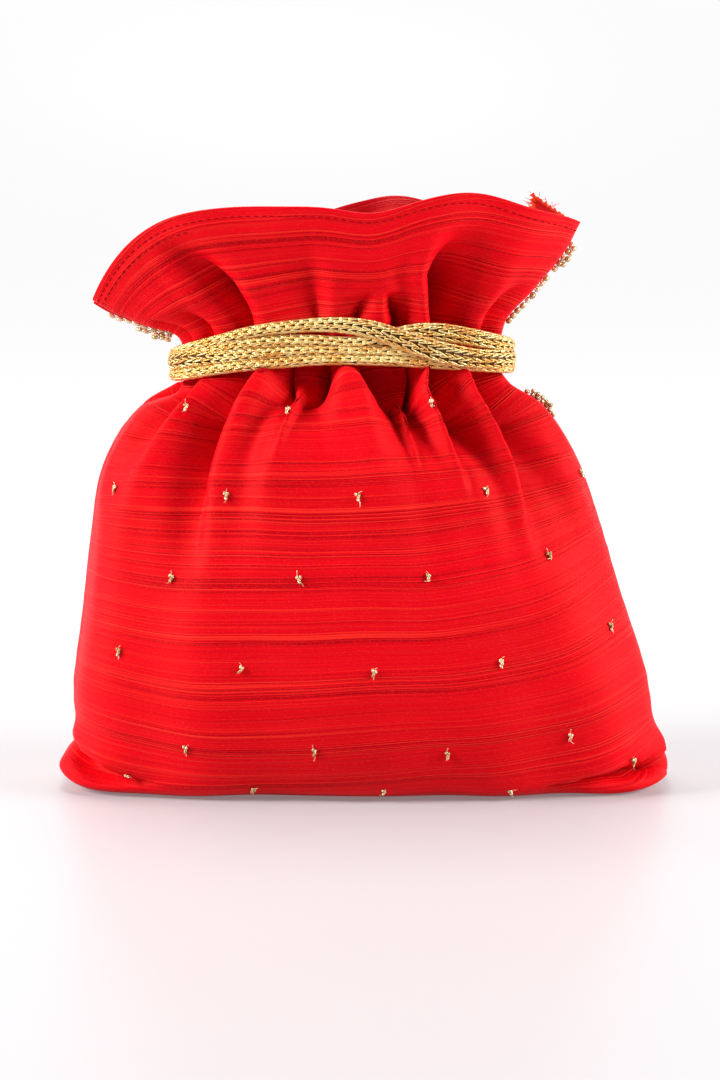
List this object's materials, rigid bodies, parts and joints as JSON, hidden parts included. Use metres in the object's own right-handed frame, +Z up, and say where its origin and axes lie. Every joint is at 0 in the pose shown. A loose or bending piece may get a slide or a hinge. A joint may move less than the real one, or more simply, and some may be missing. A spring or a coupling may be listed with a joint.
{
  "type": "potli bag",
  "caption": "Standing silk drawstring pouch with a gathered neck, a flared ruffle, a wound gold cord and small gold bead knots, hollow and open at the top.",
  "frame": {"origin": "middle of the base, on the surface that the bag stands on", "axes": "+Z up, the front looks along -Y, the side seams lie in the plane y = 0"},
  "size_m": [0.2296, 0.1005, 0.2212],
  "materials": {
    "silk": "satin slubbed silk",
    "raw_silk": "matt raw edge",
    "gold_cord": "knitted metallic thread",
    "gold_bead": "polished bead"
  },
  "bodies": {
    "root": {"front_panel": "silk", "back_panel": "silk", "draw_cord": "gold_cord", "cord_hitch": "gold_cord", "bead_edging_left": "gold_bead", "bead_edging_right_upper": "gold_bead", "bead_edging_right_lower": "gold_bead", "frayed_flap": "raw_silk", "booti_front_1_1": "gold_bead", "booti_front_1_2": "gold_bead", "booti_front_1_3": "gold_bead", "booti_front_1_4": "gold_bead", "booti_front_1_5": "gold_bead", "booti_front_2_1": "gold_bead", "booti_front_2_2": "gold_bead", "booti_front_2_3": "gold_bead", "booti_front_2_4": "gold_bead", "booti_front_3_1": "gold_bead", "booti_front_3_2": "gold_bead", "booti_front_3_3": "gold_bead", "booti_front_3_4": "gold_bead", "booti_front_3_5": "gold_bead", "booti_front_4_1": "gold_bead", "booti_front_4_2": "gold_bead", "booti_front_4_3": "gold_bead", "booti_front_4_4": "gold_bead", "booti_front_5_1": "gold_bead", "booti_front_5_2": "gold_bead", "booti_front_5_3": "gold_bead", "booti_front_5_4": "gold_bead", "booti_front_5_5": "gold_bead", "booti_front_6_1": "gold_bead", "booti_front_6_2": "gold_bead", "booti_front_6_3": "gold_bead", "booti_back_1_1": "gold_bead", "booti_back_1_2": "gold_bead", "booti_back_1_3": "gold_bead", "booti_back_1_4": "gold_bead", "booti_back_1_5": "gold_bead", "booti_back_2_1": "gold_bead", "booti_back_2_2": "gold_bead", "booti_back_2_3": "gold_bead", "booti_back_2_4": "gold_bead", "booti_back_3_1": "gold_bead", "booti_back_3_2": "gold_bead", "booti_back_3_3": "gold_bead", "booti_back_3_4": "gold_bead", "booti_back_3_5": "gold_bead", "booti_back_4_1": "gold_bead", "booti_back_4_2": "gold_bead", "booti_back_4_3": "gold_bead", "booti_back_4_4": "gold_bead", "booti_back_5_1": "gold_bead", "booti_back_5_2": "gold_bead", "booti_back_5_3": "gold_bead", "booti_back_5_4": "gold_bead", "booti_back_5_5": "gold_bead", "booti_back_6_1": "gold_bead", "booti_back_6_2": "gold_bead", "booti_back_6_3": "gold_bead"}
  },
  "joints": []
}
